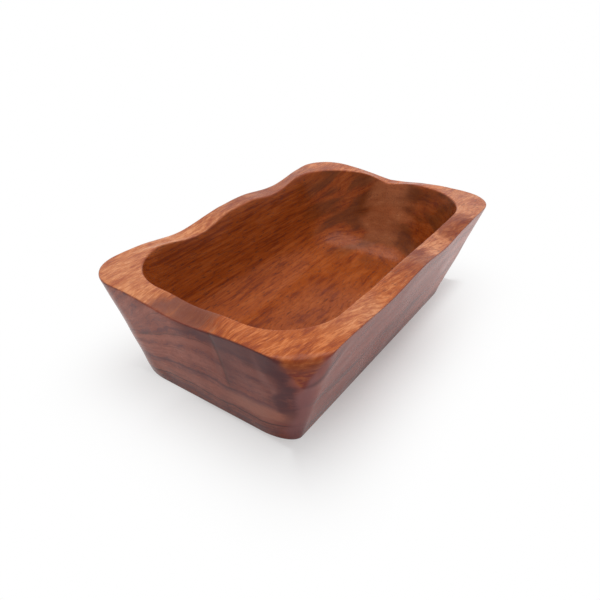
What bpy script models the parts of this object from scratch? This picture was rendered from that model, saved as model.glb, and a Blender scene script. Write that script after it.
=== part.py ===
"""A serving bowl carved from one block of hardwood.

In plan it is a rounded rectangle. Its walls lean outwards from a flat base. The top of the wall is cut
in shallow waves, with two dips in each long side and one in each end, and each end wall is pinched in
along one upright crease. +X runs along the bowl, from the left end to the right end, and the front is
towards -Y. The origin is the middle of the base.
"""

from collections import namedtuple
from functools import lru_cache
from math import cos, pi, radians, sin

import bmesh
import bpy

# Overall sizes, in metres
LENGTH = 0.240
WIDTH = 0.152
HEIGHT = 0.0675

# Corners in plan are quarters of ellipses, each with its reach along the length and across the width
CORNER_LENGTH = 0.022
CORNER_WIDTH = 0.0235

# Flat base
BASE_LENGTH = 0.2107
BASE_WIDTH = 0.1126
BASE_CORNER_LENGTH = 0.009
BASE_CORNER_WIDTH = 0.020
BASE_EDGE_RADIUS = 0.0008

# Rim, which is widest at the corners because the mouth is rounder there than the outside
FRONT_RIM_WIDTH = 0.0136
BACK_RIM_WIDTH = 0.0114
LEFT_RIM_WIDTH = 0.0134
RIGHT_RIM_WIDTH = 0.0098
MOUTH_CORNER_LENGTH = 0.037
MOUTH_CORNER_WIDTH = 0.037
RIM_EDGE_RADIUS = 0.0009

# Cavity
FLOOR_THICKNESS = 0.012
FOOT_WALL_THICKNESS = 0.010
FLOOR_CORNER_RADIUS = 0.012
FLOOR_FILLET = 0.022
FILLET_LIMIT_SHARE = 0.6

# Dips cut in the rim. Each place is a share of that side's length, counted from its middle.
BACK_DIP_PLACE_SHARES = (-0.193, 0.231)
FRONT_DIP_PLACE_SHARES = (-0.182, 0.156)
LEFT_DIP_PLACE_SHARES = (0.016,)
RIGHT_DIP_PLACE_SHARES = (0.037,)
BACK_DIP_DEPTH = 0.0034
FRONT_DIP_DEPTH = 0.0038
LEFT_DIP_DEPTH = 0.0044
RIGHT_DIP_DEPTH = 0.0020
SIDE_DIP_REACH = 0.042
END_DIP_REACH = 0.045

# How much of a side's dips and pinch is still there across the rim, at the mouth
MOUTH_CUT_SHARES = {"front": 0.3, "right": 1.0, "back": 1.0, "left": 0.3, "corner": 0.0}

# Pinch in each end wall: a sharp upright crease outside, a ridge inside and a nick in the rim
LEFT_PINCH_PLACE_SHARE = -0.11
RIGHT_PINCH_PLACE_SHARE = 0.045
PINCH_DEPTH = 0.0012
PINCH_NICK_DEPTH = 0.0010
PINCH_REACH = 0.030
PINCH_FOOT_HEIGHT = 0.020
PINCH_MARGIN_SHARE = 0.15

# Facets, as counts, and the angle past which an edge stays sharp
SIDE_STEPS = 22
END_STEPS = 7
CORNER_STEPS = 7
OUTER_WALL_STEPS = 5
INNER_WALL_STEPS = 3
FILLET_STEPS = 5
EDGE_SEGMENTS = 2
ROUND_PROFILE = 0.5
SHARP_ANGLE = radians(40)

# Oiled hardwood
WOOD_COLOUR = (0.245, 0.085, 0.042, 1.0)
WOOD_ROUGHNESS = 0.38
WOOD_METALLIC = 0.0

Outline = namedtuple("Outline", "left right front back corner_x corner_y")
Stop = namedtuple("Stop", "x y side place")
Dip = namedtuple("Dip", "side place depth reach shape")

INWARD = {"front": (0, 1), "right": (-1, 0), "back": (0, -1), "left": (1, 0), "corner": (0, 0)}


def clear_scene():
    for item in list(bpy.data.objects):
        bpy.data.objects.remove(item, do_unlink=True)


def lerp(low, high, share):
    return low + (high - low) * share


def centred(length, width, corner_x, corner_y):
    return Outline(-length / 2, length / 2, -width / 2, width / 2, corner_x, corner_y)


def blend(low, high, share):
    return Outline(*(lerp(a, b, share) for a, b in zip(low, high)))


def inset(outline, distance):
    return Outline(
        outline.left + distance,
        outline.right - distance,
        outline.front + distance,
        outline.back - distance,
        outline.corner_x - distance,
        outline.corner_y - distance,
    )


RIM = centred(LENGTH, WIDTH, CORNER_LENGTH, CORNER_WIDTH)
BASE = centred(BASE_LENGTH, BASE_WIDTH, BASE_CORNER_LENGTH, BASE_CORNER_WIDTH)
MOUTH = Outline(
    RIM.left + LEFT_RIM_WIDTH,
    RIM.right - RIGHT_RIM_WIDTH,
    RIM.front + FRONT_RIM_WIDTH,
    RIM.back - BACK_RIM_WIDTH,
    MOUTH_CORNER_LENGTH,
    MOUTH_CORNER_WIDTH,
)
LEFT_PINCH_PLACE = LEFT_PINCH_PLACE_SHARE * WIDTH
RIGHT_PINCH_PLACE = RIGHT_PINCH_PLACE_SHARE * WIDTH


def smooth_dip(share):
    """1 at the middle of a dip, falling in a wave to 0 at its reach."""
    return (1 + cos(pi * min(abs(share), 1))) / 2


def sharp_dip(share):
    """1 at the crease, falling to 0 at its reach, with a corner at the crease."""
    return 1 - sin(pi / 2 * min(abs(share), 1))


def dips():
    """Every dip in the rim, the nicks of the pinches included."""
    found = []
    for share in FRONT_DIP_PLACE_SHARES:
        found.append(Dip("front", share * LENGTH, FRONT_DIP_DEPTH, SIDE_DIP_REACH, smooth_dip))
    for share in BACK_DIP_PLACE_SHARES:
        found.append(Dip("back", share * LENGTH, BACK_DIP_DEPTH, SIDE_DIP_REACH, smooth_dip))
    for share in LEFT_DIP_PLACE_SHARES:
        found.append(Dip("left", share * WIDTH, LEFT_DIP_DEPTH, END_DIP_REACH, smooth_dip))
    for share in RIGHT_DIP_PLACE_SHARES:
        found.append(Dip("right", share * WIDTH, RIGHT_DIP_DEPTH, END_DIP_REACH, smooth_dip))
    found.append(Dip("left", LEFT_PINCH_PLACE, PINCH_NICK_DEPTH, PINCH_REACH, sharp_dip))
    found.append(Dip("right", RIGHT_PINCH_PLACE, PINCH_NICK_DEPTH, PINCH_REACH, sharp_dip))
    return found


def pinches():
    """The crease of each end wall, as the depth by which it is drawn in at the rim."""
    return [
        Dip("left", LEFT_PINCH_PLACE, PINCH_DEPTH, PINCH_REACH, sharp_dip),
        Dip("right", RIGHT_PINCH_PLACE, PINCH_DEPTH, PINCH_REACH, sharp_dip),
    ]


def steps_between(marks, count):
    """Evenly stepped places from the first mark to the last, with a step on each mark."""
    places = [marks[0]]
    for low, high in zip(marks, marks[1:]):
        places += [lerp(low, high, step / count) for step in range(1, count + 1)]
    return places


def crease_place(place, low, high):
    """A pinch's place, kept on the straight part of an end, which is short low in the cavity."""
    first = lerp(low, high, PINCH_MARGIN_SHARE)
    last = lerp(high, low, PINCH_MARGIN_SHARE)
    return min(max(place, first), last)


def walk(outline):
    """Stops once round an outline, counter-clockwise from the front left, the same number on each."""
    left, right, front, back, corner_x, corner_y = outline
    low_x, high_x = left + corner_x, right - corner_x
    low_y, high_y = front + corner_y, back - corner_y

    def corner(x, y, start):
        """Stops on a corner's arc, between the two straight sides that it joins."""
        angles = [start + pi / 2 * step / CORNER_STEPS for step in range(1, CORNER_STEPS)]
        return [Stop(x + corner_x * cos(a), y + corner_y * sin(a), "corner", 0) for a in angles]

    along_x = steps_between((low_x, high_x), SIDE_STEPS)
    up_right = steps_between((low_y, crease_place(RIGHT_PINCH_PLACE, low_y, high_y), high_y), END_STEPS)
    up_left = steps_between((low_y, crease_place(LEFT_PINCH_PLACE, low_y, high_y), high_y), END_STEPS)
    stops = [Stop(x, front, "front", x) for x in along_x]
    stops += corner(high_x, low_y, -pi / 2)
    stops += [Stop(right, y, "right", y) for y in up_right]
    stops += corner(high_x, high_y, 0)
    stops += [Stop(x, back, "back", x) for x in reversed(along_x)]
    stops += corner(low_x, high_y, pi / 2)
    stops += [Stop(left, y, "left", y) for y in reversed(up_left)]
    stops += corner(low_x, low_y, pi)
    return stops


@lru_cache(maxsize=None)
def walk_between(low, high, share):
    """Stops round the outline that lies a share of the way from one outline to another."""
    return walk(blend(low, high, share))


def depth_at(stop, found):
    """Sum of the dips that reach a stop of the rim. No dip reaches into a corner."""
    total = 0
    for dip in found:
        if dip.side != stop.side:
            continue
        if dip.side in ("front", "back"):
            room = LENGTH / 2 - CORNER_LENGTH - abs(dip.place)
        else:
            room = WIDTH / 2 - CORNER_WIDTH - abs(dip.place)
        total += dip.depth * dip.shape((stop.place - dip.place) / min(dip.reach, room))
    return total


RIM_STOPS = walk(RIM)
RIM_TOPS = [HEIGHT - depth_at(stop, dips()) for stop in RIM_STOPS]
MOUTH_TOPS = [HEIGHT - depth_at(stop, dips()) * MOUTH_CUT_SHARES[stop.side] for stop in RIM_STOPS]
OUTER_PULLS = [depth_at(stop, pinches()) for stop in RIM_STOPS]
INNER_PULLS = [depth_at(stop, pinches()) * MOUTH_CUT_SHARES[stop.side] for stop in RIM_STOPS]


def pinched(side, stop, z, pull):
    """A stop's point at a height, drawn in by the pull that its side has at the rim."""
    share = min(max((z - PINCH_FOOT_HEIGHT) / (HEIGHT - PINCH_FOOT_HEIGHT), 0), 1)
    fade = share * share * (3 - 2 * share)
    inward_x, inward_y = INWARD[side]
    return (stop.x + inward_x * pull * fade, stop.y + inward_y * pull * fade, z)


def outer_ring(level_share):
    """Points round the outside, at one share of the way from the base to the rim."""
    points = []
    for index, rim_stop in enumerate(RIM_STOPS):
        z = RIM_TOPS[index] * level_share
        stop = walk_between(BASE, RIM, z / HEIGHT)[index]
        points.append(pinched(rim_stop.side, stop, z, OUTER_PULLS[index]))
    return points


def cavity_floor():
    """Outline where the cavity's wall, carried straight down, would meet its floor."""
    corner_size = FLOOR_CORNER_RADIUS + fillet_size()
    return inset(BASE, FOOT_WALL_THICKNESS)._replace(corner_x=corner_size, corner_y=corner_size)


def fillet_size():
    """The fillet between floor and wall, which leaves part of the shallowest wall straight."""
    return min(FLOOR_FILLET, FILLET_LIMIT_SHARE * (min(MOUTH_TOPS) - FLOOR_THICKNESS))


def inner_wall_ring(level_share):
    """Points round the cavity's straight wall, at one share of the way from the fillet to the mouth."""
    points = []
    foot = FLOOR_THICKNESS + fillet_size()
    for index, rim_stop in enumerate(RIM_STOPS):
        z = lerp(foot, MOUTH_TOPS[index], level_share)
        share = (z - FLOOR_THICKNESS) / (HEIGHT - FLOOR_THICKNESS)
        stop = walk_between(cavity_floor(), MOUTH, share)[index]
        points.append(pinched(rim_stop.side, stop, z, INNER_PULLS[index]))
    return points


def fillet_ring(turn_share):
    """Points round the fillet, a parabola from the straight wall (0) to the flat floor (1)."""
    fillet = fillet_size()
    z = FLOOR_THICKNESS + fillet * (1 - turn_share) ** 2
    share = (z - FLOOR_THICKNESS) / (HEIGHT - FLOOR_THICKNESS)
    stops = walk(inset(blend(cavity_floor(), MOUTH, share), fillet * turn_share ** 2))
    points = []
    for index, rim_stop in enumerate(RIM_STOPS):
        points.append(pinched(rim_stop.side, stops[index], z, INNER_PULLS[index]))
    return points


def rings():
    """The outside's rings, from the base up, and the cavity's, from the mouth down to the floor."""
    outside = [outer_ring(step / OUTER_WALL_STEPS) for step in range(OUTER_WALL_STEPS + 1)]
    inside = [inner_wall_ring(step / INNER_WALL_STEPS) for step in range(INNER_WALL_STEPS, 0, -1)]
    fillet = [fillet_ring(step / FILLET_STEPS) for step in range(FILLET_STEPS + 1)]
    return outside, inside + fillet


def add_ring(bm, points):
    """A closed loop of edges through the points."""
    verts = [bm.verts.new(point) for point in points]
    return [bm.edges.new((a, b)) for a, b in zip(verts, verts[1:] + verts[:1])]


def round_edges(bm, edges, radius):
    """Rounds a whole loop of edges, as sanding does."""
    bmesh.ops.bevel(
        bm,
        geom=edges,
        offset=radius,
        offset_type="OFFSET",
        segments=EDGE_SEGMENTS,
        profile=ROUND_PROFILE,
        affect="EDGES",
        clamp_overlap=True,
    )


def bowl_mesh():
    """Bridges the rings into one closed skin, then eases the edges of the rim and of the base."""
    outside, inside = rings()
    bm = bmesh.new()
    loops = [add_ring(bm, points) for points in outside + inside]
    for lower, upper in zip(loops, loops[1:]):
        bmesh.ops.bridge_loops(bm, edges=lower + upper)
    for end_loop in (loops[0], loops[-1]):
        bmesh.ops.contextual_create(bm, geom=end_loop)
    bmesh.ops.recalc_face_normals(bm, faces=bm.faces)
    outer_edge = loops[len(outside) - 1]
    mouth_edge = loops[len(outside)]
    round_edges(bm, outer_edge + mouth_edge, RIM_EDGE_RADIUS)
    round_edges(bm, loops[0], BASE_EDGE_RADIUS)
    mesh = bpy.data.meshes.new("bowl_body")
    bm.to_mesh(mesh)
    bm.free()
    return mesh


def oiled_wood():
    material = bpy.data.materials.new("oiled_wood")
    material.use_nodes = True
    shader = material.node_tree.nodes["Principled BSDF"]
    shader.inputs["Base Color"].default_value = WOOD_COLOUR
    shader.inputs["Roughness"].default_value = WOOD_ROUGHNESS
    shader.inputs["Metallic"].default_value = WOOD_METALLIC
    return material


def main():
    clear_scene()
    mesh = bowl_mesh()
    mesh.materials.append(oiled_wood())
    mesh.shade_smooth()
    mesh.set_sharp_from_angle(angle=SHARP_ANGLE)
    bowl = bpy.data.objects.new("bowl_body", mesh)
    bpy.context.scene.collection.objects.link(bowl)


main()
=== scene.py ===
"""The finished look of a serving bowl that is carved from one block of hardwood.

+X runs along the bowl and along the grain, the front is towards -Y, and the origin is the middle of the
base. One node tree shapes the bowl by the rules of the solid that it replaces. Its wood is one material,
worked out from where each point lay in the block, and in a few places light, shade and sheen are painted
into its colour.
"""

from collections import namedtuple
from math import pi, radians

import bmesh
import bpy
from mathutils import Matrix, Vector


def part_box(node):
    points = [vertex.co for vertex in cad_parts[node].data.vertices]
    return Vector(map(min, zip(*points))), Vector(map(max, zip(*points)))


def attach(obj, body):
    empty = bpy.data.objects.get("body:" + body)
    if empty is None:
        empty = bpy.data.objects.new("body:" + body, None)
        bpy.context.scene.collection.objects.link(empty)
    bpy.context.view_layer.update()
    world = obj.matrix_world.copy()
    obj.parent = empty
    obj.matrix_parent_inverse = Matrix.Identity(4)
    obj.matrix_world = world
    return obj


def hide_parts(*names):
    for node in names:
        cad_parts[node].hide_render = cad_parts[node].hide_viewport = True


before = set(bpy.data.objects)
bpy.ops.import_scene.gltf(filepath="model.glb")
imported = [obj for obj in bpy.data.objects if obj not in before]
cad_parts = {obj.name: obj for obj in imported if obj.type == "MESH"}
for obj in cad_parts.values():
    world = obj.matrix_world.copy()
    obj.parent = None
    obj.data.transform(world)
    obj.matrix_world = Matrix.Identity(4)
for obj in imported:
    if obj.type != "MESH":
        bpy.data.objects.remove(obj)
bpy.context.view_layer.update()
LOW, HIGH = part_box("bowl_body")

# Named inputs of the bowl's node tree: sizes in metres, and the seed of its unevenness
BOWL = {
    "Length": HIGH.x - LOW.x,
    "Width": HIGH.y - LOW.y,
    "Height": HIGH.z - LOW.z,
    "Corner length": 0.022,
    "Corner width": 0.0235,
    "Base length": 0.2107,
    "Base width": 0.1126,
    "Base corner length": 0.009,
    "Base corner width": 0.020,
    "Base edge radius": 0.0008,
    "Front rim width": 0.0136,
    "Back rim width": 0.0114,
    "Left rim width": 0.0134,
    "Right rim width": 0.0098,
    "Mouth corner length": 0.037,
    "Mouth corner width": 0.037,
    "Rim edge radius": 0.0012,
    "Near corner softness": 0.0055,
    "Far foot extra length": 0.020,
    "Far foot extra width": 0.004,
    "Mouth edge radius": 0.0010,
    "Floor thickness": 0.012,
    "Foot wall thickness": 0.010,
    "Floor corner radius": 0.012,
    "Floor fillet": 0.022,
    "Front dip depth": 0.0038,
    "Back dip depth": 0.0034,
    "Left dip depth": 0.0044,
    "Right dip depth": 0.0020,
    "Side dip reach": 0.042,
    "End dip reach": 0.045,
    "Back mouth dip depth": 0.0047,
    "Back mouth dip reach": 0.036,
    "Pinch depth": 0.0012,
    "Pinch nick depth": 0.0010,
    "Pinch reach": 0.030,
    "Pinch foot height": 0.020,
    "Unevenness": 0.00035,
    "Unevenness spread": 0.026,
    "Unevenness seed": 4.0,
}
# Places of the dips and pinches, as shares of their side's length, counted from its middle
FRONT_DIP_SHARES = (-0.182, 0.156)
BACK_DIP_SHARES = (-0.193, 0.231)
LEFT_DIP_SHARES = (0.016,)
RIGHT_DIP_SHARES = (0.037,)
BACK_MOUTH_DIP_SHARE = -0.168
LEFT_PINCH_SHARE = -0.11
RIGHT_PINCH_SHARE = 0.045
# How much of each dip reaches across the rim to the mouth. The back's left dip has a mouth dip of its own.
FRONT_MOUTH_SHARES = (0.3, 0.3)
BACK_MOUTH_SHARES = (0.0, 1.0)
LEFT_MOUTH_SHARES = (0.3,)
RIGHT_MOUTH_SHARES = (1.0,)

# The grid that becomes the bowl: columns go round it, rows follow its profile from base to floor
COLUMNS = 624
SIDES = 4
STRAIGHT_SHARE = 0.72
ZONES = (
    ("base", 6),
    ("base edge", 4),
    ("wall", 46),
    ("rim edge", 8),
    ("rim", 12),
    ("mouth edge", 7),
    ("cavity", 30),
    ("fillet", 14),
    ("floor", 9),
)
# The share of the rim's rounded edge that still has the colour of the walls
WALL_COLOUR_SHARE = 0.3
# Points that lie nearer to each other than this become one, which closes the seam, the base and the floor
SEAM = 0.00001
# The surface grows uneven from the flat base up to this height
BASE_LIFT = 0.006

# Camera, from the lines of the rim and the base in the photograph
PICTURE_SIDE = 600
FOCAL_PIXELS = 556.0
SENSOR = 36.0
CAMERA_PLACE = (-0.2702, -0.1731, 0.2189)
CAMERA_HEADING = radians(34.361)
CAMERA_DROP = radians(32.439)
CAMERA_ROLL = radians(0.459)
NEAREST_SEEN = 0.01
FARTHEST_SEEN = 100.0

# The studio: one soft box above, a soft light from all round, and a pale floor
WHITE = (1, 1, 1, 1)
SKY_LIGHT = 0.32
SOFTBOX_PLACE = (0.02, 0.0, 0.85)
SOFTBOX_TARGET = (0, 0, 0.05)
SOFTBOX_WIDTH = 0.9
SOFTBOX_DEPTH = 0.7
SOFTBOX_POWER = 7.0
FLOOR_SIDE = 16.0
FLOOR_COLOUR = (0.88, 0.88, 0.88, 1)

# From here on, two numbers in a pair are where a change starts and where it is full: metres along the axis
# that the name ends in, metres away from what it names, or values of a noise. Two shares in a pair are what
# the change starts from and what it comes to.

# How white the floor is seen: in full away from the bowl, less beside it, and least on the front's side
FLOOR_SHADE_REACH = 0.070
FLOOR_WHITE_SHARES = (0.30, 0.80)
FLOOR_RIGHT_X = (-0.01, 0.115)
FLOOR_LEFT_X = (-0.05, -0.12)
FLOOR_LEFT_SHARE = 0.4
FLOOR_BACK_Y = (-0.03, 0.03)
FLOOR_BACK_SHARE = 0.7
FLOOR_END_SHARE = 0.6
# The darker floor close to where the bowl touches it
TOUCH_REACH = 0.016
TOUCH_X = (-0.08, 0.05)
TOUCH_SHARES = (0.10, 0.45)

Woods = namedtuple("Woods", "dark middle pale")

# Woods, as linear colours
END_WOODS = Woods((0.185, 0.044, 0.038, 1), (0.310, 0.078, 0.047, 1), (0.390, 0.112, 0.070, 1))
FRONT_WOODS = Woods((0.160, 0.034, 0.028, 1), (0.280, 0.056, 0.036, 1), (0.360, 0.090, 0.060, 1))
# Woods of the front's far end: partly paler wood, and partly painted light and sheen
FAR_FRONT_WOODS_AND_LIGHT = Woods((0.330, 0.090, 0.068, 1), (0.470, 0.145, 0.105, 1), (0.560, 0.190, 0.140, 1))
RIM_WOODS = Woods((0.270, 0.052, 0.014, 1), (0.405, 0.096, 0.022, 1), (0.570, 0.175, 0.055, 1))
LOBE_WOODS = Woods((0.360, 0.095, 0.040, 1), (0.500, 0.172, 0.070, 1), (0.660, 0.280, 0.130, 1))
INNER_WOODS = Woods((0.190, 0.034, 0.008, 1), (0.290, 0.060, 0.010, 1), (0.350, 0.084, 0.018, 1))
CORNER_WOODS = Woods((0.100, 0.016, 0.006, 1), (0.190, 0.014, 0.002, 1), (0.360, 0.075, 0.012, 1))
PLUM = (0.090, 0.021, 0.024, 1)
DARK_LINE = (0.045, 0.011, 0.009, 1)
DARK_MAUVE = (0.240, 0.088, 0.088, 1)
GREY_TAN = (0.440, 0.165, 0.105, 1)
DULL_BROWN = (0.170, 0.054, 0.035, 1)
UMBER = (0.100, 0.032, 0.010, 1)
MAUVE = (0.400, 0.170, 0.140, 1)

# Noises of the wood: the spread of a patch along each axis in metres, the detail, the shift that sets it
# apart from the others, and the roughness. Those of the layers have one spread, through the layers.
Noise = namedtuple("Noise", "spread detail shift roughness", defaults=(0.5,))
LAYER_BEND = Noise((0.16, 0.050, 0.050), 1.0, 3.0)
LAYER_RIPPLE = Noise((0.055, 0.014, 0.014), 2.0, 11.0)
WIDE_LAYERS = Noise(0.011, 2.0, 3.0)
BROAD_LAYERS = Noise(0.011, 0.5, 3.0)
LINE_LAYERS = Noise(0.0030, 1.0, 80.0)
LINE_PATCHES = Noise((0.10, 0.030, 0.018), 1.0, 21.0)
STREAKS = Noise((0.045, 0.011, 0.0018), 3.0, 5.0)
FIBRES = Noise((0.016, 0.0016, 0.0007), 3.0, 7.0)
MOTTLE = Noise((0.020, 0.0065, 0.0045), 4.0, 9.0, 0.6)
SOFT_PATCHES = Noise((0.034, 0.011, 0.0060), 1.0, 15.0)
PORES = Noise((0.0045, 0.00045, 0.00045), 0.0, 13.0)
SWIRLS = Noise((0.040, 0.022, 0.012), 1.0, 61.0)
CORNER_WANDER = Noise((0.018, 0.018, 0.012), 1.5, 51.0)
RIM_SWING = Noise((0.034, 0.013, 0.034), 2.0, 31.0)
RIM_CLOUDS = Noise((0.016, 0.0060, 1), 3.0, 41.0)
RIM_STREAKS = Noise((0.013, 0.0014, 1), 3.0, 43.0, 0.6)
RIM_SPECKS = Noise((0.0050, 0.0014, 1), 3.0, 45.0, 0.6)
RIM_THREADS = Noise((0.0045, 0.0005, 1), 2.0, 47.0)
RIM_FLECKS = Noise((0.0042, 0.0019, 1), 2.0, 49.0, 0.6)

# Growth layers lie flat at the front, and bend down like a dome towards the back. The dome is full from
# the given height up, and flattens out below it.
DOME_FROM = -0.012
DOME_BEND = 8.6
DOME_FULL_HEIGHT = 0.050
LAYER_BEND_SIZE = 0.008
LAYER_RIPPLE_SIZE = 0.005

# How much of each noise goes into a figure
END_FIGURE_SHARES = (0.7, 0.3, 0.4, 0.25)
FRONT_FIGURE_SHARES = (0.45, 0.45)
CORNER_FIGURE_SHARES = (0.6, 0.4)
INNER_FIGURE_SHARES = (0.25, 0.4, 0.5, 0.3)
RIM_FIGURE_SHARES = (0.60, 0.30, 0.35, 0.35)
# How far from 0.5 a figure goes before its wood is all dark or all pale
TONE_SPREAD = 0.12
FRONT_TONE_SPREAD = 0.18
PORE_EDGE = (0.64, 0.72)

# Where a surface counts as the near end or the front, by how far it is from that side's plane, and where
# end grain shows, by how far it is from the bowl's middle
NEAR_END_AWAY = (0.014, 0.006)
FRONT_AWAY = (0.014, 0.004)
END_GRAIN_X = (0.094, 0.104)

# The walls: darker on the near end towards the front, and paler on the front towards the far end,
# which is partly paler wood and partly painted light and sheen
END_SHADE_Y = (0.025, -0.030)
END_SHADE_Z = (0.028, 0.045)
END_SHADE_SHARES = (0.25, 0.50)
FRONT_PAINTED_LIGHT_X = (0.0, 0.10)

# Bands of the near end, as heights through the layers: rise from, rise to, fall from, fall to
TAN_BAND = (0.0140, 0.0175, 0.0240, 0.0300)
TAN_BAND_Y = (-0.012, -0.032)
TAN_BAND_SHARES = (0.12, 0.57)
HIGH_PLUM_BAND = (0.0545, 0.0590, 0.0680, 0.0720)
HIGH_PLUM_Y = (0.012, -0.004)
HIGH_PLUM_SHARE = 0.65
# Thin lines between the layers, and those of the near end, as heights through the layers
LINE_EDGE = (0.60, 0.68)
LINE_PATCH_EDGE = (0.48, 0.58)
LINE_SHARES = (0.30, 0.03)
LOW_LINES = (0.0125, 0.0098)
LOW_LINE_SHARES = (1.0, 0.5)
ARC_LINE = 0.0548
ARC_LINE_Y = (-0.022, -0.008)
ARC_LINE_SHARE = 0.5
LINE_WIDTH = 0.0008
END_LINE_SHARE = 0.85

# The crease of the near end, whose dark line and the shade on its right are painted shade: its place at its
# foot, and how far it leans by the rim
CREASE_FOOT_Y = -0.0215
CREASE_FOOT_Z = 0.028
CREASE_FADE = 0.006
CREASE_LEAN = 0.0055
CREASE_HEIGHT = 0.037
CREASE_WIDTH = 0.0020
CREASE_SHARE = 0.5
CREASE_SHADE_WIDTH = 0.014
CREASE_SHADE_SHARE = 0.45

# Round the near corner, layers and colours follow the way round it, which is 0 at its middle, below 0 on
# the near end and above 0 on the front. The end's and the front's pairs are distances from their planes.
CORNER_FROM_END = (0.036, 0.024)
CORNER_FROM_FRONT = (0.034, 0.024)
# The corner's colours are full where the surface is at least this much a wall, and not yet rim
CORNER_WALL_SHARE = 0.35
CORNER_WANDER_SIZE = 0.016
# The dark band that comes down the corner, and the knot that widens it
DARK_BAND_MIDDLE = -0.0038
DARK_BAND_FOOT = 0.020
DARK_BAND_BEND = 8.6
DARK_BAND_EDGE = (0.0080, 0.0005)
DARK_BAND_Z = (0.002, 0.036)
DARK_BAND_FIGURE = (0.49, 0.60)
DARK_BAND_SHARES = (0.95, 0.55)
KNOT_HEIGHT = 0.034
KNOT_REACH = (0.012, 0.002)
KNOT_SHIFT = 0.003
KNOT_WIDENING = 0.006
# Plum wood and a paler layer on the dark band's left
PLUM_SIDE = (-0.020, -0.006, 0.0, 0.001)
PLUM_SIDE_Z = (0.024, 0.036)
PLUM_SIDE_SHARE = 0.35
LAYER_BAND_AWAY = 0.0110
LAYER_BAND_WIDTH = 0.0050
LAYER_BAND_Z = (0.018, 0.034)
LAYER_BAND_SHARE = 0.22
# Orange wood that comes over the rim, with a plum band along its right side
ORANGE_MIDDLE = -0.0020
ORANGE_FOOT = 0.0425
ORANGE_LEFT_SLOPE = -0.455
ORANGE_RIGHT_SPREAD = 0.094
ORANGE_EDGE = (-0.0015, 0.004)
ORANGE_SHARE = 0.92
ORANGE_TOP_Z = (0.055, 0.066)
ORANGE_TOP_SHARE = 0.75
EDGE_BAND_MIDDLE = -0.0009
EDGE_BAND_SLOPE = 1.67
EDGE_BAND_WIDTH = 0.0090
EDGE_BAND_RISE = (-0.002, 0.006)
EDGE_BAND_SHARE = 0.65
# A pale band that climbs over the front, away from the corner
PALE_BAND_HEIGHT = 0.0600
PALE_BAND_FROM = 0.036
PALE_BAND_SLOPE = 0.62
PALE_BAND_WIDTH = 0.0050
PALE_BAND_WANDER_SHARE = 0.5
PALE_BAND_FROM_END = (0.050, 0.034)
PALE_BAND_SHARE = 0.4
# Dark mauve wood on the front's side of the corner
CORNER_MAUVE_ROUND = (-0.006, 0.002)
CORNER_MAUVE_FROM_END = (0.016, 0.008)
CORNER_MAUVE_SHARE = 0.8

# The cavity, on the wall of its far end: a dark umber swirl of wood that also carries painted shade, and a
# pale patch that is a painted sheen
FAR_WALL_SHADE_X = (0.055, 0.095)
FAR_WALL_SHADE_SWIRL = (0.62, 0.42)
FAR_WALL_SHADE_SHARE = 0.6
INSIDE_SHEEN_X = (0.090, 0.102)
INSIDE_SHEEN_Y = (-0.024, -0.008, 0.008, 0.022)
INSIDE_SHEEN_WANDER = 0.03
INSIDE_SHEEN_FIGURE_SHARE = 0.4
INSIDE_SHEEN_SHARE = 0.65

# The rim: towards the front its streaks slant outwards to the right, by a share of the way along
RIM_SLANT_Y = (0.0, -0.045)
RIM_SLANT_SHARE = 0.20
RIM_SWING_SIZE = 0.006
# Paler wood along the near half of the rim and all along the back
LOBE_NEAR_X = (-0.100, -0.066)
LOBE_FAR_X = (0.070, 0.020)
LOBE_BACK_Y = (0.016, 0.028)
LOBE_SHARE_X = (0.030, -0.045)
LOBE_SHARES = (0.15, 0.90)
# Stretches of the front's rim: rise from, rise to, fall from, fall to
FRONT_RIM_Y = (-0.030, -0.045)
STRETCH_WANDER = 0.03
DARK_STRETCH = (-0.054, -0.042, -0.016, 0.004)
DARK_STRETCH_SHARE = 0.7
PALE_STRETCH = (0.006, 0.020, 0.042, 0.049)
PALE_END_X = (0.070, 0.084)
PALE_STRETCH_SHARE = 0.85
PALE_STRETCH_MAUVE_SHARE = 0.15
# Painted shade of plum over the far half of the rim, where less light falls, which ends before the far end
FAR_RIM_SHADE_X = (-0.045, 0.015)
FAR_RIM_SHADE_END_X = (0.086, 0.102)
FAR_RIM_SHADE_END_SHARES = (1.0, 0.05)
FAR_RIM_SHADE_SHARES = (0.32, 0.47)
# Short dull flecks, more of them on the front
FLECK_EDGE = (0.56, 0.66)
FLECK_X = (-0.050, -0.030)
FLECK_Y = (-0.040, -0.050)
FLECK_SHARES = (0.15, 0.50)
# The dull stretch where the near end dips: painted reflection, a duller brown in place of how the tilted
# rim there reflects the light
WASHOUT_X = (-0.094, -0.106)
WASHOUT_Y = (-0.021, -0.006, 0.012, 0.028)
WASHOUT_WANDER = 0.035
WASHOUT_SHARE = 0.85

# The finish: how dark the pores are outside and inside, the gloss, and the relief in metres. The front is
# calmer than the rest, and has only a part of the unevenness of both.
PORE_SHARES = (0.10, 0.60)
ROUGHNESS = 0.24
ROUGHNESS_BY_MOTTLE = 0.12
ROUGHNESS_BY_FIBRE = 0.08
ROUGHNESS_BY_PORE = 0.2
CALM_FRONT_SHARES = (1.0, 0.1)
REFLECTION = 0.12
FIBRE_RELIEF = 0.00003
STREAK_RELIEF = 0.00003
PORE_DEPTH = 0.00005
THREAD_RELIEF = 0.00005
CREASE_DEPTH = 0.00005


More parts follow.
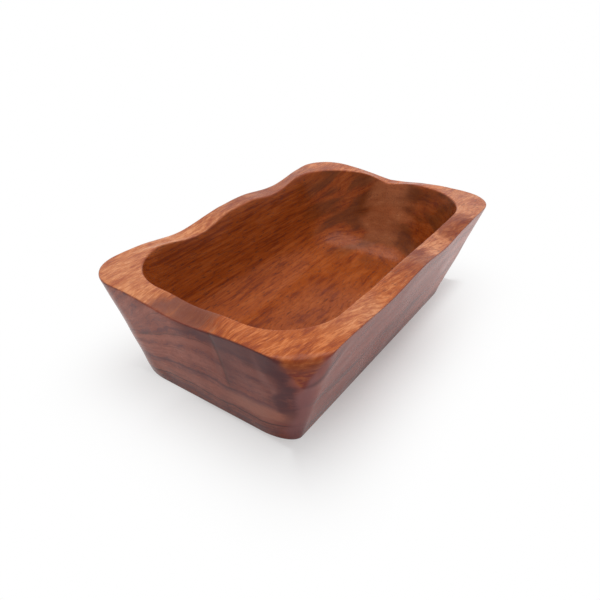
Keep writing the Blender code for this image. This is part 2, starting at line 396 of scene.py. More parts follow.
class Value:
    """An output of a node, which can stand in a sum as a number can."""

    def __init__(self, graph, socket):
        self.graph = graph
        self.socket = socket

    def __add__(self, other):
        return self.graph.maths("ADD", self, other)

    def __sub__(self, other):
        return self.graph.maths("SUBTRACT", self, other)

    def __rsub__(self, other):
        return self.graph.maths("SUBTRACT", other, self)

    def __mul__(self, other):
        return self.graph.maths("MULTIPLY", self, other)

    def __truediv__(self, other):
        return self.graph.maths("DIVIDE", self, other)

    def __rtruediv__(self, other):
        return self.graph.maths("DIVIDE", other, self)

    def __pow__(self, other):
        return self.graph.maths("POWER", self, other)

    __radd__ = __add__
    __rmul__ = __mul__


class Graph:
    """A node tree that is filled by calls and sums."""

    def __init__(self, tree):
        self.tree = tree

    def node(self, kind, settings=None, sockets=None, output=0):
        """Adds a node: its settings first, then what its sockets take. Gives back one output."""
        made = self.tree.nodes.new(kind)
        for name, value in (settings or {}).items():
            setattr(made, name, value)
        for key, value in (sockets or {}).items():
            if isinstance(value, Value):
                self.tree.links.new(value.socket, made.inputs[key])
            else:
                made.inputs[key].default_value = value
        return Value(self, made.outputs[output]) if len(made.outputs) else None

    def maths(self, operation, *terms):
        return self.node("ShaderNodeMath", {"operation": operation}, dict(enumerate(terms)))

    def clamp(self, value):
        return self.node("ShaderNodeClamp", sockets={"Value": value})

    def axes(self, vector):
        """The three parts of a vector."""
        first = self.node("ShaderNodeSeparateXYZ", sockets={"Vector": vector})
        return [Value(self, part) for part in first.socket.node.outputs]

    def vector(self, x, y, z):
        return self.node("ShaderNodeCombineXYZ", sockets={"X": x, "Y": y, "Z": z})

    def ramp(self, value, low, high):
        """0 up to low, 1 from high on, and smooth between them."""
        span = {"Value": value, "From Min": low, "From Max": high}
        return self.node("ShaderNodeMapRange", {"interpolation_type": "SMOOTHSTEP"}, span)

    def scaled(self, place, spread, shift):
        """A place counted in steps of the given spread along each axis, and shifted."""
        by = {0: place, 1: tuple(1 / step for step in spread), 2: (shift, shift, shift)}
        return self.node("ShaderNodeVectorMath", {"operation": "MULTIPLY_ADD"}, by)

    def noise(self, place, kind):
        """A noise about 0.5, by place."""
        sockets = {
            "Vector": self.scaled(place, kind.spread, kind.shift),
            "Scale": 1.0,
            "Detail": kind.detail,
            "Roughness": kind.roughness,
        }
        return self.node("ShaderNodeTexNoise", {"noise_dimensions": "3D"}, sockets)

    def line_noise(self, value, kind):
        """A noise about 0.5, along one value."""
        sockets = {"W": value / kind.spread + kind.shift, "Scale": 1.0, "Detail": kind.detail}
        return self.node("ShaderNodeTexNoise", {"noise_dimensions": "1D"}, sockets)

    def mix(self, share, low, high):
        """A colour on the way from low to high."""
        settings = {"data_type": "RGBA", "clamp_factor": True}
        return self.node("ShaderNodeMix", settings, {0: share, 6: low, 7: high}, 2)


Outline = namedtuple("Outline", "middle_x middle_y half_length half_width corner_x corner_y")
Around = namedtuple("Around", "along_x along_y turn_x turn_y")
Cuts = namedtuple("Cuts", "rim mouth outside inside")


def blend(low, high, share):
    return Outline(*(a + (b - a) * share for a, b in zip(low, high)))


def walk_round(graph, lap):
    """Where a column stands, from its lap of the four sides, counted from the front left corner.

    along_x and along_y go from 0 to 1 over the straight sides, and turn is the way out from the corner.
    """
    side = graph.maths("FLOOR", lap)
    on_side = lap - side
    straight = graph.clamp(on_side / STRAIGHT_SHARE)
    turn = graph.clamp((on_side - STRAIGHT_SHARE) / (1 - STRAIGHT_SHARE))
    walked = side + straight
    angle = (side + turn - 1) * (pi / 2)
    along_x = graph.clamp(walked) - graph.clamp(walked - 2)
    along_y = graph.clamp(walked - 1) - graph.clamp(walked - 3)
    return Around(along_x, along_y, graph.maths("COSINE", angle), graph.maths("SINE", angle))


def outline_point(outline, around, inset):
    """A column's point on an outline that is drawn in by the inset."""
    x = outline.middle_x + (around.along_x * 2 - 1) * (outline.half_length - outline.corner_x)
    y = outline.middle_y + (around.along_y * 2 - 1) * (outline.half_width - outline.corner_y)
    return x + around.turn_x * (outline.corner_x - inset), y + around.turn_y * (outline.corner_y - inset)


def smooth_dip(graph, share):
    """1 at the middle of a dip, falling in a wave to 0 at its reach."""
    return (graph.maths("COSINE", graph.maths("MINIMUM", share, 1) * pi) + 1) / 2


def sharp_dip(graph, share):
    """1 at the crease, falling to 0 at its reach, with a corner at the crease."""
    return 1 - graph.maths("SINE", graph.maths("MINIMUM", share, 1) * (pi / 2))


def dip(graph, shape, stand, place, reach, side_length, corner):
    """How deep a dip is where a column stands. It ends before the corner of its side."""
    room = side_length / 2 - corner - graph.maths("ABSOLUTE", place)
    width = graph.maths("MINIMUM", reach, room)
    return shape(graph, graph.maths("ABSOLUTE", stand - place) / width)


def cut_depths(graph, size, around):
    """How far a column is cut down at the rim and the mouth, and pinched in outside and inside."""
    corner_x, corner_y = size["Corner length"], size["Corner width"]
    stand_x = (around.along_x - 0.5) * (size["Length"] - corner_x * 2)
    stand_y = (around.along_y - 0.5) * (size["Width"] - corner_y * 2)
    back = graph.maths("GREATER_THAN", around.along_y, 0.5)
    right = graph.maths("GREATER_THAN", around.along_x, 0.5)
    along = ("Length", stand_x, corner_x, "Side dip reach")
    across = ("Width", stand_y, corner_y, "End dip reach")
    rim = mouth = outside = inside = 0
    for name, mask, shares, (side, stand, corner, reach), mouth_shares in (
        ("Front", 1 - back, FRONT_DIP_SHARES, along, FRONT_MOUTH_SHARES),
        ("Back", back, BACK_DIP_SHARES, along, BACK_MOUTH_SHARES),
        ("Left", 1 - right, LEFT_DIP_SHARES, across, LEFT_MOUTH_SHARES),
        ("Right", right, RIGHT_DIP_SHARES, across, RIGHT_MOUTH_SHARES),
    ):
        for share, mouth_share in zip(shares, mouth_shares):
            place = size[side] * share
            wave = dip(graph, smooth_dip, stand, place, size[reach], size[side], corner)
            depth = wave * size[name + " dip depth"] * mask
            rim = depth + rim
            mouth = depth * mouth_share + mouth
    for mask, share, inward, mouth_share in (
        (1 - right, LEFT_PINCH_SHARE, 1, LEFT_MOUTH_SHARES[0]),
        (right, RIGHT_PINCH_SHARE, -1, RIGHT_MOUTH_SHARES[0]),
    ):
        place = size["Width"] * share
        crease = dip(graph, sharp_dip, stand_y, place, size["Pinch reach"], size["Width"], corner_y) * mask
        nick = crease * size["Pinch nick depth"]
        pull = crease * size["Pinch depth"] * inward
        rim = nick + rim
        mouth = nick * mouth_share + mouth
        outside = pull + outside
        inside = pull * mouth_share + inside
    return Cuts(rim, mouth, outside, inside)


def walk_profile(graph, row):
    """How far each zone of the profile is walked at a row, from 0 to 1."""
    walked = {}
    first = 0
    for name, count in ZONES:
        walked[name] = graph.clamp((row - first) / count)
        first += count
    return walked


def outlines(size):
    """The four outlines that the walls run between."""
    rim = Outline(
        0, 0, size["Length"] / 2, size["Width"] / 2, size["Corner length"], size["Corner width"]
    )
    base = Outline(
        0,
        0,
        size["Base length"] / 2,
        size["Base width"] / 2,
        size["Base corner length"],
        size["Base corner width"],
    )
    mouth = Outline(
        (size["Left rim width"] - size["Right rim width"]) / 2,
        (size["Front rim width"] - size["Back rim width"]) / 2,
        rim.half_length - (size["Left rim width"] + size["Right rim width"]) / 2,
        rim.half_width - (size["Front rim width"] + size["Back rim width"]) / 2,
        size["Mouth corner length"],
        size["Mouth corner width"],
    )
    floor = Outline(
        0,
        0,
        base.half_length - size["Foot wall thickness"],
        base.half_width - size["Foot wall thickness"],
        size["Floor corner radius"] + size["Floor fillet"],
        size["Floor corner radius"] + size["Floor fillet"],
    )
    return base, rim, floor, mouth


def back_mouth_dip(graph, size, mouth_x, mouth_y):
    """How far the mouth's edge is cut down beside the back's left dip, by where the edge runs."""
    away = graph.maths("ABSOLUTE", mouth_x - size["Length"] * BACK_MOUTH_DIP_SHARE)
    wave = smooth_dip(graph, away / size["Back mouth dip reach"])
    return wave * size["Back mouth dip depth"] * graph.ramp(mouth_y, 0, size["Width"] / 4)


def carved_point(graph, size, lap, walked):
    """The bowl's point for a column's lap and a row's walk of the profile."""
    around = walk_round(graph, lap)
    cuts = cut_depths(graph, size, around)
    base, rim, floor, mouth = outlines(size)
    top = size["Height"] - cuts.rim
    brim = size["Height"] - cuts.mouth - back_mouth_dip(graph, size, *outline_point(mouth, around, 0))

    near_corner = graph.maths("MINIMUM", around.turn_x, 0) * graph.maths("MINIMUM", around.turn_y, 0) * 2
    far_foot = around.along_x * (1 - around.along_y)
    base = base._replace(
        corner_x=base.corner_x + far_foot * size["Far foot extra length"],
        corner_y=base.corner_y + far_foot * size["Far foot extra width"],
    )
    rim_edge = size["Rim edge radius"] + near_corner * size["Near corner softness"]
    mouth_edge = size["Mouth edge radius"]
    base_edge = size["Base edge radius"]
    fillet = size["Floor fillet"]
    foot = size["Floor thickness"] + fillet

    before_rim = 1 - walked["rim edge"]
    before_floor = 1 - walked["fillet"]
    z = base_edge * walked["base edge"] ** 2 + (top - rim_edge - base_edge) * walked["wall"]
    z = z + rim_edge * (1 - before_rim**2) + (brim - top) * graph.ramp(walked["rim"], 0, 1)
    z = z - mouth_edge * walked["mouth edge"] ** 2
    z = z - (brim - mouth_edge - foot) * walked["cavity"] - fillet * (1 - before_floor**2)

    outer = outline_point(
        blend(base, rim, z / size["Height"]), around, base_edge * (1 - walked["base edge"]) ** 2
    )
    inner = outline_point(
        blend(floor, mouth, (z - size["Floor thickness"]) / (size["Height"] - size["Floor thickness"])),
        around,
        fillet * walked["fillet"] ** 2,
    )
    span_x, span_y = inner[0] - outer[0], inner[1] - outer[1]
    rim_width = (span_x**2 + span_y**2) ** 0.5
    edge_share = rim_edge / rim_width
    mouth_share = mouth_edge / rim_width
    across = edge_share * walked["rim edge"] ** 2 + (1 - edge_share - mouth_share) * walked["rim"]
    across = across + mouth_share * (1 - (1 - walked["mouth edge"]) ** 2)

    pinch_height = graph.ramp(z, size["Pinch foot height"], size["Height"])
    spread = walked["base"] * (1 - walked["floor"])
    pinched = cuts.outside + (cuts.inside - cuts.outside) * walked["rim"]
    x = (outer[0] + span_x * across) * spread + pinched * pinch_height
    y = (outer[1] + span_y * across) * spread
    return graph.vector(x, y, z)


def uneven_offset(graph, size):
    """What the carver's tools left: slow swells over the whole surface, but not on the base."""
    place = graph.node("GeometryNodeInputPosition")
    normal = graph.node("GeometryNodeInputNormal")
    spread = size["Unevenness spread"]
    swell = graph.node(
        "ShaderNodeTexNoise",
        {"noise_dimensions": "4D"},
        {"Vector": place, "W": size["Unevenness seed"], "Scale": 1 / spread, "Detail": 1.0},
    )
    height = graph.axes(place)[2]
    amount = (swell * 2 - 1) * size["Unevenness"] * 2 * graph.ramp(height, 0, BASE_LIFT)
    return graph.node("ShaderNodeVectorMath", {"operation": "SCALE"}, {0: normal, "Scale": amount})


def bowl_tree(material):
    """The node tree that turns a grid into the bowl. Its named inputs are the bowl's sizes."""
    tree = bpy.data.node_groups.new("carved_bowl", "GeometryNodeTree")
    tree.interface.new_socket("Bowl", in_out="OUTPUT", socket_type="NodeSocketGeometry")
    for name in BOWL:
        tree.interface.new_socket(name, in_out="INPUT", socket_type="NodeSocketFloat")
    graph = Graph(tree)
    entry = graph.node("NodeGroupInput").socket.node
    size = {name: Value(graph, entry.outputs[name]) for name in BOWL}

    rows = sum(count for name, count in ZONES)
    counts = {"Vertices X": COLUMNS + 1, "Vertices Y": rows + 1}
    spans = {"Size X": float(SIDES), "Size Y": float(rows)}
    grid = graph.node("GeometryNodeMeshGrid", sockets=counts | spans)
    lap, row, _ = graph.axes(graph.node("GeometryNodeInputPosition"))
    walked = walk_profile(graph, row + rows / 2)
    marked = grid
    for name, share in (
        ("on_rim", graph.ramp(walked["rim edge"], WALL_COLOUR_SHARE, 1) * (1 - walked["mouth edge"])),
        ("inside", walked["mouth edge"]),
    ):
        marked = graph.node(
            "GeometryNodeStoreNamedAttribute",
            {"data_type": "FLOAT", "domain": "POINT"},
            {"Geometry": marked, "Name": name, "Value": share},
        )
    carved = graph.node(
        "GeometryNodeSetPosition",
        sockets={"Geometry": marked, "Position": carved_point(graph, size, lap + SIDES / 2, walked)},
    )
    closed = graph.node("GeometryNodeMergeByDistance", sockets={"Geometry": carved, "Distance": SEAM})
    worked = graph.node(
        "GeometryNodeSetPosition", sockets={"Geometry": closed, "Offset": uneven_offset(graph, size)}
    )
    smooth = graph.node("GeometryNodeSetShadeSmooth", sockets={"Geometry": worked})
    whole = graph.node("GeometryNodeRealizeInstances", sockets={"Geometry": smooth})
    finished = graph.node("GeometryNodeSetMaterial", sockets={"Geometry": whole, "Material": material})
    graph.node("NodeGroupOutput", sockets={"Bowl": finished})
    return tree


def plain_mesh(name, tree, values):
    """Runs a node tree with its inputs set, and keeps the result as a plain mesh."""
    holder = bpy.data.objects.new(name + "_holder", bpy.data.meshes.new(name + "_holder"))
    bpy.context.scene.collection.objects.link(holder)
    modifier = holder.modifiers.new("carving", "NODES")
    modifier.node_group = tree
    for item in tree.interface.items_tree:
        if item.in_out == "INPUT":
            modifier[item.identifier] = values[item.name]
    evaluated = holder.evaluated_get(bpy.context.evaluated_depsgraph_get())
    mesh = bpy.data.meshes.new_from_object(evaluated)
    mesh.name = name
    bpy.data.objects.remove(holder)
    return mesh


def band(graph, value, stops):
    """1 between the middle two stops, 0 outside the outer two."""
    rise_from, rise_to, fall_from, fall_to = stops
    return graph.ramp(value, rise_from, rise_to) * (1 - graph.ramp(value, fall_from, fall_to))


def thin_line(graph, away, width):
    """1 where a distance is 0, fading to 0 at the width."""
    return 1 - graph.ramp(graph.maths("ABSOLUTE", away), 0, width)


def between(share, first, last):
    """A number on the way from first to last."""
    return share * (last - first) + first


def weigh(noises, shares):
    """A figure about 0.5, from noises about 0.5 and the share of each."""
    figure = 0.5
    for noise, share in zip(noises, shares):
        figure = (noise - 0.5) * share + figure
    return figure


def mark(graph, name):
    """What the bowl's node tree has stored at each point."""
    return graph.node("ShaderNodeAttribute", {"attribute_name": name}, output="Fac")


def tones(graph, value, woods, spread=TONE_SPREAD):
    """Dark, middle and pale wood by a value about 0.5."""
    colour = graph.mix(graph.ramp(value, 0.5 - spread, 0.5), woods.dark, woods.middle)
    return graph.mix(graph.ramp(value, 0.5, 0.5 + spread), colour, woods.pale)


Surface = namedtuple("Surface", "on_rim inside outside from_end from_front near_end front end_grain")
Grain = namedtuple("Grain", "place x y z layer in_layers wide streak fibre mottle pore")
Corner = namedtuple("Corner", "z from_end wander way_round above here figure")


def surface_of(graph, x, y, z):
    """Which part of the surface a point is on, and how far it is from the near end and the front."""
    on_rim = mark(graph, "on_rim")
    inside = mark(graph, "inside")
    outside = graph.clamp(1 - on_rim - inside)
    lean_x = (BOWL["Length"] - BOWL["Base length"]) / 2 / BOWL["Height"]
    lean_y = (BOWL["Width"] - BOWL["Base width"]) / 2 / BOWL["Height"]
    from_end = x + BOWL["Base length"] / 2 + z * lean_x
    from_front = y + BOWL["Base width"] / 2 + z * lean_y
    near_end = graph.ramp(from_end, *NEAR_END_AWAY) * outside
    front = graph.ramp(from_front, *FRONT_AWAY) * outside
    end_grain = graph.ramp(graph.maths("ABSOLUTE", x), *END_GRAIN_X) * outside
    return Surface(on_rim, inside, outside, from_end, from_front, near_end, front, end_grain)


def grain_of(graph, place, x, y, z, end_grain):
    """How high a point lies among the growth layers, and the figure that runs along the grain there."""
    bend = (graph.noise(place, LAYER_BEND) - 0.5) * LAYER_BEND_SIZE
    ripple = (graph.noise(place, LAYER_RIPPLE) - 0.5) * LAYER_RIPPLE_SIZE
    fall = graph.maths("MAXIMUM", y - DOME_FROM, 0) ** 2 * DOME_BEND
    layer = z + fall * graph.clamp(z / DOME_FULL_HEIGHT) + bend + ripple
    in_layers = graph.vector(x, y, layer)
    wide = graph.line_noise(layer, WIDE_LAYERS)
    streak = graph.noise(in_layers, STREAKS)
    fibre = graph.noise(in_layers, FIBRES)
    mottle = graph.noise(in_layers, MOTTLE)
    pore = graph.ramp(graph.noise(place, PORES), *PORE_EDGE) * (1 - end_grain)
    return Grain(place, x, y, z, layer, in_layers, wide, streak, fibre, mottle, pore)


def wall_wood(graph, grain, surface):
    """The walls: the front grows paler towards the far end, partly in painted light and sheen, and the near
    end darker towards the front.
    """
    end_noises = (grain.wide, grain.streak, grain.mottle, grain.fibre)
    colour = tones(graph, weigh(end_noises, END_FIGURE_SHARES), END_WOODS)
    end_shade = graph.ramp(grain.y, *END_SHADE_Y) * surface.near_end
    shade_share = between(graph.ramp(grain.z, *END_SHADE_Z), *END_SHADE_SHARES)
    colour = graph.mix(end_shade * shade_share, colour, PLUM)

    broad = graph.line_noise(grain.layer, BROAD_LAYERS)
    soft = graph.noise(grain.in_layers, SOFT_PATCHES)
    front_figure = weigh((broad, soft), FRONT_FIGURE_SHARES)
    near_wood = tones(graph, front_figure, FRONT_WOODS, FRONT_TONE_SPREAD)
    colour = graph.mix(surface.front, colour, near_wood)
    # Painted light and sheen: the front turns paler towards the far end, in place of the brighter light and
    # reflection there
    far_painted_light = surface.front * graph.ramp(grain.x, *FRONT_PAINTED_LIGHT_X)
    return graph.mix(far_painted_light, colour, tones(graph, front_figure, FAR_FRONT_WOODS_AND_LIGHT))


def wall_layers(graph, colour, grain, surface):
    """Bands and thin dark lines of the growth layers, most of them on the near end."""
    near_end = surface.near_end
    tan_share = between(graph.ramp(grain.y, *TAN_BAND_Y), *TAN_BAND_SHARES)
    tan = band(graph, grain.layer, TAN_BAND) * tan_share
    colour = graph.mix(tan * near_end, colour, GREY_TAN)
    high_plum = band(graph, grain.layer, HIGH_PLUM_BAND) * graph.ramp(grain.y, *HIGH_PLUM_Y)
    colour = graph.mix(high_plum * near_end * HIGH_PLUM_SHARE, colour, PLUM)

    line = graph.ramp(graph.line_noise(grain.layer, LINE_LAYERS), *LINE_EDGE)
    patch = graph.ramp(graph.noise(grain.place, LINE_PATCHES), *LINE_PATCH_EDGE)
    line_share = between(surface.front, *LINE_SHARES)
    colour = graph.mix(line * patch * surface.outside * line_share, colour, DARK_LINE)
    arc_line = thin_line(graph, grain.layer - ARC_LINE, LINE_WIDTH) * graph.ramp(grain.y, *ARC_LINE_Y)
    lines = arc_line * ARC_LINE_SHARE
    for height, share in zip(LOW_LINES, LOW_LINE_SHARES):
        lines = thin_line(graph, grain.layer - height, LINE_WIDTH) * share + lines
    return graph.mix(lines * near_end * END_LINE_SHARE, colour, DARK_LINE)


def crease_masks(graph, y, z, near_end):
    """The painted shade of the near end's crease: a dark line in its groove, and a soft shade on its right
    where the wall turns from the light, over partly darker wood.
    """
    risen = (z - CREASE_FOOT_Z) / CREASE_HEIGHT
    lean = graph.maths("MAXIMUM", risen, 0) ** 2 * CREASE_LEAN
    right_of = lean + CREASE_FOOT_Y - y
    there = graph.ramp(z, CREASE_FOOT_Z - CREASE_FADE, CREASE_FOOT_Z + CREASE_FADE) * near_end
    line = thin_line(graph, right_of, CREASE_WIDTH) * there
    right_side = graph.ramp(right_of, 0, CREASE_WIDTH) * there
    return line, right_side * (1 - graph.ramp(right_of, 0, CREASE_SHADE_WIDTH))


def corner_of(graph, grain, surface):
    """Where a point is on the near corner, and how much of the corner's colours it takes."""
    here = graph.ramp(surface.from_end, *CORNER_FROM_END)
    here = here * graph.ramp(surface.from_front, *CORNER_FROM_FRONT)
    here = here * graph.ramp(surface.outside, 0, CORNER_WALL_SHARE)
    wander = (graph.noise(grain.place, CORNER_WANDER) - 0.5) * CORNER_WANDER_SIZE
    way_round = surface.from_end - surface.from_front + wander
    above = grain.z - ORANGE_FOOT + wander
    mottle_share, streak_share = CORNER_FIGURE_SHARES
    figure = grain.mottle * mottle_share + grain.streak * streak_share
    return Corner(grain.z, surface.from_end, wander, way_round, above, here, figure)


def corner_front(graph, colour, corner, front):
    """The front's side of the near corner: a pale band that climbs, and dark mauve wood."""
    climb = graph.maths("MAXIMUM", PALE_BAND_FROM - corner.from_end, 0) * PALE_BAND_SLOPE
    pale_away = corner.z + climb + corner.wander * PALE_BAND_WANDER_SHARE - PALE_BAND_HEIGHT
    pale_band = thin_line(graph, pale_away, PALE_BAND_WIDTH) * front
    pale_band = pale_band * graph.ramp(corner.from_end, *PALE_BAND_FROM_END)
    colour = graph.mix(pale_band * PALE_BAND_SHARE, colour, MAUVE)
    mauve = graph.ramp(corner.way_round, *CORNER_MAUVE_ROUND) * corner.here
    mauve = mauve * graph.ramp(corner.from_end, *CORNER_MAUVE_FROM_END)
    return graph.mix(mauve * CORNER_MAUVE_SHARE, colour, DARK_MAUVE)


def corner_dark_band(graph, colour, corner):
    """The dark band that comes down the near corner, and the wood on its left."""
    risen = graph.maths("MAXIMUM", corner.z - DARK_BAND_FOOT, 0)
    from_dark = corner.way_round - DARK_BAND_MIDDLE + risen**2 * DARK_BAND_BEND
    plum_side = band(graph, from_dark, PLUM_SIDE) * graph.ramp(corner.z, *PLUM_SIDE_Z)
    colour = graph.mix(plum_side * corner.here * PLUM_SIDE_SHARE, colour, PLUM)
    layer = thin_line(graph, from_dark + LAYER_BAND_AWAY, LAYER_BAND_WIDTH)
    layer = layer * graph.ramp(corner.z, *LAYER_BAND_Z)
    colour = graph.mix(layer * corner.here * LAYER_BAND_SHARE, colour, MAUVE)

    knot = graph.ramp(graph.maths("ABSOLUTE", corner.z - KNOT_HEIGHT), *KNOT_REACH)
    away = graph.maths("ABSOLUTE", from_dark + knot * KNOT_SHIFT) - knot * KNOT_WIDENING
    dark = graph.ramp(away, *DARK_BAND_EDGE) * graph.ramp(corner.z, *DARK_BAND_Z)
    dark_share = between(graph.ramp(corner.figure, *DARK_BAND_FIGURE), *DARK_BAND_SHARES)
    return graph.mix(dark * corner.here * dark_share, colour, PLUM)


def corner_orange(graph, colour, corner):
    """The orange wood that comes over the rim at the near corner, and the plum band beside it."""
    edge_away = corner.way_round - EDGE_BAND_MIDDLE - corner.above * EDGE_BAND_SLOPE
    edge_band = thin_line(graph, edge_away, EDGE_BAND_WIDTH) * graph.ramp(corner.above, *EDGE_BAND_RISE)
    colour = graph.mix(edge_band * corner.here * EDGE_BAND_SHARE, colour, PLUM)

    from_left = corner.way_round - ORANGE_MIDDLE - corner.above * ORANGE_LEFT_SLOPE
    right_edge = graph.maths("MAXIMUM", corner.above, 0) ** 0.5 * ORANGE_RIGHT_SPREAD
    from_right = right_edge - corner.way_round + ORANGE_MIDDLE
    orange = graph.ramp(from_left, *ORANGE_EDGE) * graph.ramp(from_right, *ORANGE_EDGE) * corner.here
    low_wood = tones(graph, corner.figure, CORNER_WOODS)
    high_wood = tones(graph, corner.figure, RIM_WOODS)
    wood = graph.mix(graph.ramp(corner.z, *ORANGE_TOP_Z) * ORANGE_TOP_SHARE, low_wood, high_wood)
    return graph.mix(orange * ORANGE_SHARE, colour, wood)


def cavity_wood(graph, grain):
    """The wood inside, with a dark patch at the far end that is partly painted shade, and a pale patch
    there that is a painted sheen.
    """
    inner_noises = (grain.wide, grain.streak, grain.mottle, grain.fibre)
    figure = weigh(inner_noises, INNER_FIGURE_SHARES)
    colour = tones(graph, figure, INNER_WOODS)
    swirl = graph.noise(grain.in_layers, SWIRLS)
    # Painted shade: the far end's inner wall darkened with umber, broken up by the wood's swirl
    far_wall_shade = graph.ramp(grain.x, *FAR_WALL_SHADE_X) * graph.ramp(swirl, *FAR_WALL_SHADE_SWIRL)
    colour = graph.mix(far_wall_shade * FAR_WALL_SHADE_SHARE, colour, UMBER)
    # Painted sheen: a pale patch on the far end's inner wall, where its soft highlight lies
    edge = grain.y + (swirl - 0.5) * INSIDE_SHEEN_WANDER
    pale = graph.ramp(grain.x, *INSIDE_SHEEN_X) * band(graph, edge, INSIDE_SHEEN_Y)
    sheen_wood = tones(graph, weigh((figure,), (INSIDE_SHEEN_FIGURE_SHARE,)), LOBE_WOODS)
    return graph.mix(pale * INSIDE_SHEEN_SHARE, colour, sheen_wood)


def rim_wood(graph, place, x, y):
    """The rim: fine streaks that run nearly along the grain, with painted shade on its far half and a
    painted dull stretch at the near end. Gives its colour and its finest threads.
    """
    swing = (graph.noise(place, RIM_SWING) - 0.5) * RIM_SWING_SIZE
    across = y + x * graph.ramp(y, *RIM_SLANT_Y) * RIM_SLANT_SHARE + swing
    on_top = graph.vector(x, across, 0)
    cloud = graph.noise(on_top, RIM_CLOUDS)
    streak = graph.noise(on_top, RIM_STREAKS)
    speck = graph.noise(on_top, RIM_SPECKS)
    thread = graph.noise(on_top, RIM_THREADS)
    figure = weigh((cloud, streak, speck, thread), RIM_FIGURE_SHARES)

    front_side = graph.ramp(y, *FRONT_RIM_Y)
    along = x + (cloud - 0.5) * STRETCH_WANDER
    dark_stretch = band(graph, along, DARK_STRETCH) * front_side
    pale_stretch = (band(graph, along, PALE_STRETCH) + graph.ramp(along, *PALE_END_X)) * front_side
    lobe = graph.ramp(x, *LOBE_NEAR_X) * graph.ramp(x, *LOBE_FAR_X)
    lobe = graph.clamp(lobe + graph.ramp(y, *LOBE_BACK_Y))
    lobe = lobe * between(graph.ramp(x, *LOBE_SHARE_X), *LOBE_SHARES)
    lobe = lobe * (1 - dark_stretch * DARK_STRETCH_SHARE)
    lobe = graph.maths("MAXIMUM", lobe, pale_stretch * PALE_STRETCH_SHARE)
    colour = graph.mix(lobe, tones(graph, figure, RIM_WOODS), tones(graph, figure, LOBE_WOODS))

    # Painted shade: the rim's far half is darkened with plum, as it gets less light
    far_end = between(graph.ramp(x, *FAR_RIM_SHADE_END_X), *FAR_RIM_SHADE_END_SHARES)
    far_rim_shade = graph.ramp(x, *FAR_RIM_SHADE_X) * far_end * between(front_side, *FAR_RIM_SHADE_SHARES)
    colour = graph.mix(far_rim_shade * (1 - pale_stretch), colour, PLUM)
    colour = graph.mix(pale_stretch * PALE_STRETCH_MAUVE_SHARE, colour, MAUVE)
    fleck = graph.ramp(graph.noise(on_top, RIM_FLECKS), *FLECK_EDGE)
    on_front = graph.ramp(x, *FLECK_X) * graph.ramp(y, *FLECK_Y)
    colour = graph.mix(fleck * between(on_front, *FLECK_SHARES), colour, DULL_BROWN)
    # Painted reflection: a duller brown where the rim dips and tilts at the near end
    edge = y + (cloud - 0.5) * WASHOUT_WANDER
    tilt_washout = graph.ramp(x, *WASHOUT_X) * band(graph, edge, WASHOUT_Y)
    return graph.mix(tilt_washout * WASHOUT_SHARE, colour, DULL_BROWN), thread


def oiled_hardwood():
    """The bowl's one wood, outside, inside and on the rim."""
    material = bpy.data.materials.new("oiled_hardwood")
    material.use_nodes = True
    material.node_tree.nodes.clear()
    graph = Graph(material.node_tree)
    place = graph.node("ShaderNodeTexCoord", output="Object")
    x, y, z = graph.axes(place)
    surface = surface_of(graph, x, y, z)
    grain = grain_of(graph, place, x, y, z, surface.end_grain)

    colour = wall_wood(graph, grain, surface)
    colour = wall_layers(graph, colour, grain, surface)
    crease, crease_painted_shade = crease_masks(graph, y, z, surface.near_end)
    # Painted shade: plum beside the near end's crease, and a dark line in its groove
    colour = graph.mix(crease_painted_shade * CREASE_SHADE_SHARE, colour, PLUM)
    colour = graph.mix(crease * CREASE_SHARE, colour, DARK_LINE)
    corner = corner_of(graph, grain, surface)
    colour = corner_front(graph, colour, corner, surface.front)
    colour = corner_dark_band(graph, colour, corner)
    colour = corner_orange(graph, colour, corner)
    colour = graph.mix(surface.inside, colour, cavity_wood(graph, grain))
    rim, thread = rim_wood(graph, place, x, y)
    colour = graph.mix(surface.on_rim, colour, rim)
    colour = graph.mix(grain.pore * between(surface.inside, *PORE_SHARES), colour, DARK_LINE)

    calm = between(surface.front, *CALM_FRONT_SHARES)
    uneven = (grain.mottle - 0.5) * ROUGHNESS_BY_MOTTLE + (grain.fibre - 0.5) * ROUGHNESS_BY_FIBRE
    uneven = uneven + grain.pore * ROUGHNESS_BY_PORE
    relief = grain.fibre * FIBRE_RELIEF - grain.pore * PORE_DEPTH + grain.streak * STREAK_RELIEF
    height = relief * calm + thread * surface.on_rim * THREAD_RELIEF - crease * CREASE_DEPTH
    bump = graph.node("ShaderNodeBump", sockets={"Strength": 1.0, "Distance": 1.0, "Height": height})
    shader = graph.node(
        "ShaderNodeBsdfPrincipled",
        sockets={
            "Base Color": colour,
            "Roughness": uneven * calm + ROUGHNESS,
            "Specular IOR Level": REFLECTION,
            "Normal": bump,
        },
    )
    graph.node("ShaderNodeOutputMaterial", sockets={"Surface": shader})
    return material


def add_object(name, data):
    made = bpy.data.objects.new(name, data)
    bpy.context.scene.collection.objects.link(made)
    return made


def seen_white(graph):
    """1 for the camera and in reflections, where the backdrop shows white."""
    paths = graph.node("ShaderNodeLightPath").socket.node.outputs
    seen = Value(graph, paths["Is Camera Ray"])
    for name in ("Is Glossy Ray", "Is Transmission Ray"):
        seen = graph.maths("MAXIMUM", seen, Value(graph, paths[name]))
    return seen


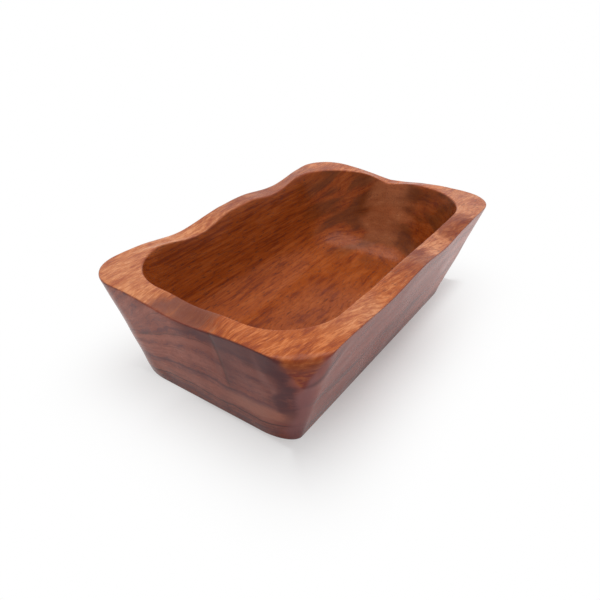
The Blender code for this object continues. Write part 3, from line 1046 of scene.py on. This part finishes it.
def floor_material():
    """Pale, with the bowl's shadow, and fading to plain white away from the bowl."""
    material = bpy.data.materials.new("floor")
    material.use_nodes = True
    material.node_tree.nodes.clear()
    graph = Graph(material.node_tree)
    x, y, _ = graph.axes(graph.node("ShaderNodeTexCoord", output="Object"))
    beyond_x = graph.maths("MAXIMUM", graph.maths("ABSOLUTE", x) - BOWL["Base length"] / 2, 0)
    beyond_y = graph.maths("MAXIMUM", graph.maths("ABSOLUTE", y) - BOWL["Base width"] / 2, 0)
    distance = (beyond_x**2 + beyond_y**2) ** 0.5
    away = graph.ramp(distance, 0, FLOOR_SHADE_REACH)
    at_end = graph.ramp(beyond_x / (distance + FLOOR_SHADE_REACH / 100), 0, 1)
    open_side = graph.ramp(x, *FLOOR_RIGHT_X)
    open_side = graph.maths("MAXIMUM", open_side, graph.ramp(x, *FLOOR_LEFT_X) * FLOOR_LEFT_SHARE)
    open_side = graph.maths("MAXIMUM", open_side, graph.ramp(y, *FLOOR_BACK_Y) * FLOOR_BACK_SHARE)
    open_side = graph.maths("MAXIMUM", open_side, at_end * FLOOR_END_SHARE)
    beside = between(open_side, *FLOOR_WHITE_SHARES)
    touching = (1 - at_end) * graph.ramp(distance, TOUCH_REACH, 0)
    touching = touching * between(graph.ramp(x, *TOUCH_X), *TOUCH_SHARES)
    beside = beside * (1 - touching)
    white = seen_white(graph) * (beside + away * (1 - beside))
    lit = graph.node("ShaderNodeBsdfDiffuse", sockets={"Color": FLOOR_COLOUR})
    plain = graph.node("ShaderNodeEmission", sockets={"Color": WHITE, "Strength": 1.0})
    both = graph.node("ShaderNodeMixShader", sockets={0: white, 1: lit, 2: plain})
    graph.node("ShaderNodeOutputMaterial", sockets={"Surface": both})
    return material


def add_floor():
    bm = bmesh.new()
    bmesh.ops.create_grid(bm, x_segments=1, y_segments=1, size=FLOOR_SIDE / 2)
    mesh = bpy.data.meshes.new("floor")
    bm.to_mesh(mesh)
    bm.free()
    mesh.materials.append(floor_material())
    floor = add_object("floor", mesh)


def add_world():
    """White where it is seen, and a plain soft light elsewhere."""
    world = bpy.data.worlds.new("studio")
    world.use_nodes = True
    world.node_tree.nodes.clear()
    graph = Graph(world.node_tree)
    light = graph.node("ShaderNodeBackground", sockets={"Color": WHITE, "Strength": SKY_LIGHT})
    white = graph.node("ShaderNodeBackground", sockets={"Color": WHITE, "Strength": 1.0})
    both = graph.node("ShaderNodeMixShader", sockets={0: seen_white(graph), 1: light, 2: white})
    graph.node("ShaderNodeOutputWorld", sockets={"Surface": both})
    bpy.context.scene.world = world


def add_softbox():
    """A soft box above the bowl, which faces it."""
    lamp = bpy.data.lights.new("softbox_above", "AREA")
    lamp.shape = "RECTANGLE"
    lamp.size = SOFTBOX_WIDTH
    lamp.size_y = SOFTBOX_DEPTH
    lamp.energy = SOFTBOX_POWER
    softbox = add_object("softbox_above", lamp)
    softbox.location = SOFTBOX_PLACE
    facing = Vector(SOFTBOX_TARGET) - Vector(SOFTBOX_PLACE)
    softbox.rotation_euler = facing.to_track_quat("-Z", "Y").to_euler()


def add_camera():
    data = bpy.data.cameras.new("camera")
    data.sensor_width = SENSOR
    data.lens = SENSOR * FOCAL_PIXELS / PICTURE_SIDE
    data.clip_start = NEAREST_SEEN
    data.clip_end = FARTHEST_SEEN
    camera = add_object("camera", data)
    turn = Matrix.Rotation(CAMERA_HEADING - pi / 2, 4, "Z")
    tilt = Matrix.Rotation(pi / 2 - CAMERA_DROP, 4, "X")
    roll = Matrix.Rotation(CAMERA_ROLL, 4, "Z")
    camera.matrix_world = Matrix.Translation(CAMERA_PLACE) @ turn @ tilt @ roll
    bpy.context.scene.camera = camera


def add_bowl():
    bowl = add_object("carved_bowl", plain_mesh("carved_bowl", bowl_tree(oiled_hardwood()), BOWL))
    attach(bowl, "root")
    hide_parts("bowl_body")


bpy.context.scene.view_settings.view_transform = "Standard"
add_camera()
add_world()
add_softbox()
add_floor()
add_bowl()
